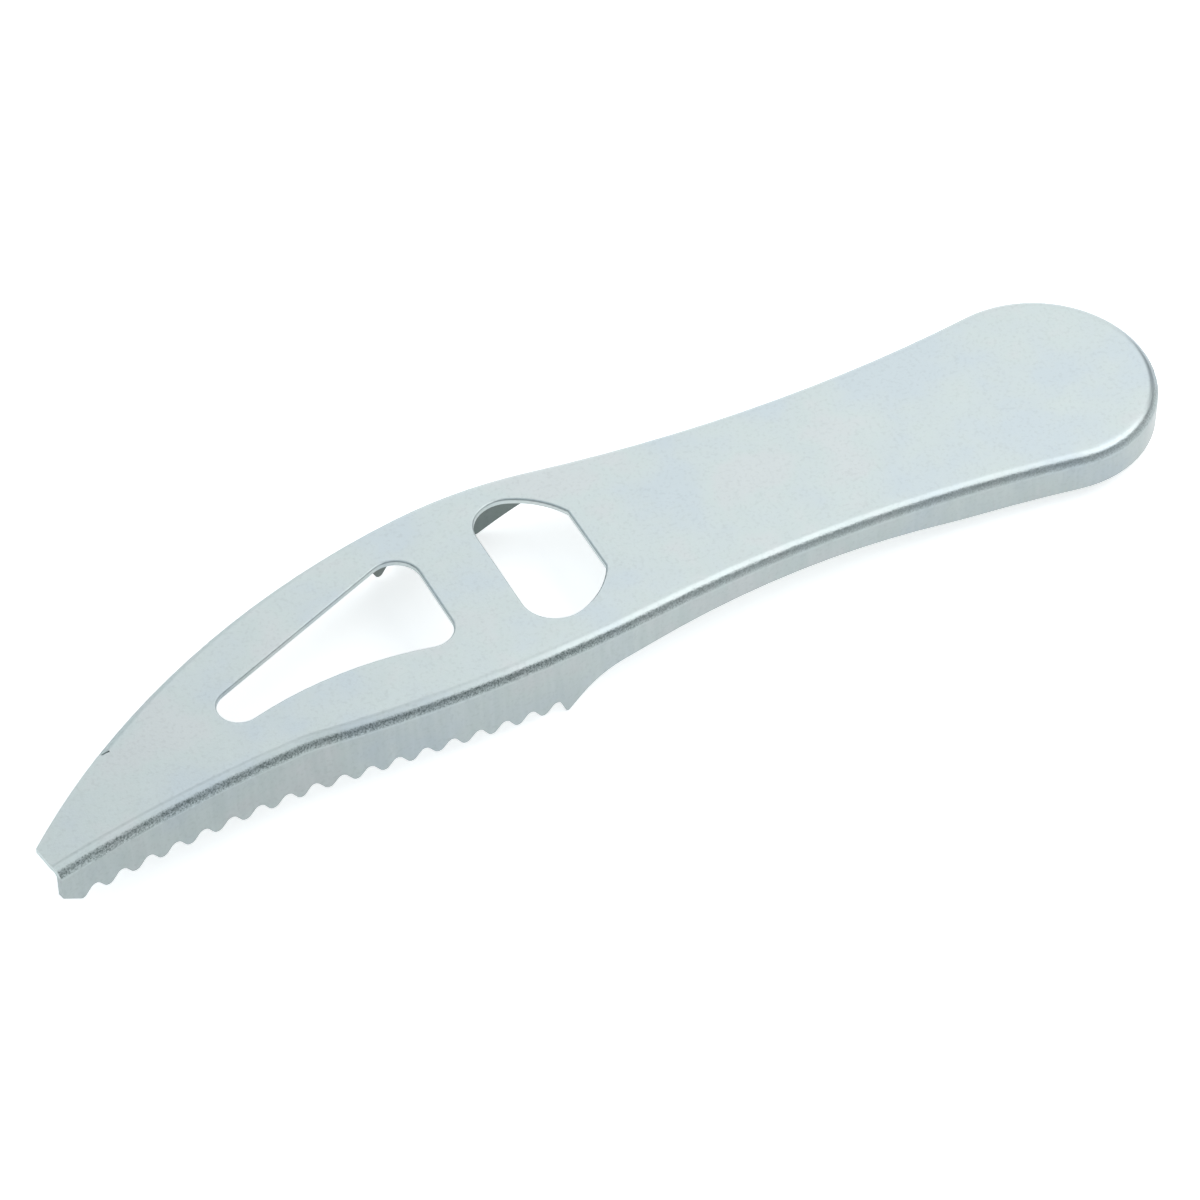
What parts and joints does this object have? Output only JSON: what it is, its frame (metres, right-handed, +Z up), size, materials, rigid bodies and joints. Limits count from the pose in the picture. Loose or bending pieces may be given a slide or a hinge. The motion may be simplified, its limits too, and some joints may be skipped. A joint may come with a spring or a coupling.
{
  "type": "pressed steel multi tool",
  "caption": "Curved hand tool pressed from one steel sheet, with toothed side flanges, a bottle-cap slot, a three-cornered window and a waisted channel handle.",
  "frame": {"origin": "on the table, under the centre of the bounding box", "axes": "+X runs along the tool from the cut tip to the round butt, +Z is up with the tool lying on its last teeth and its butt rim, and +Y is towards the convex back of the blade"},
  "size_m": [0.2094, 0.0482, 0.0176],
  "materials": {
    "zinc_plated_steel": "satin zinc plating, finely grained, with faint blue and pink mottling"
  },
  "bodies": {
    "root": {"pressed_steel_body": "zinc_plated_steel"}
  },
  "joints": []
}
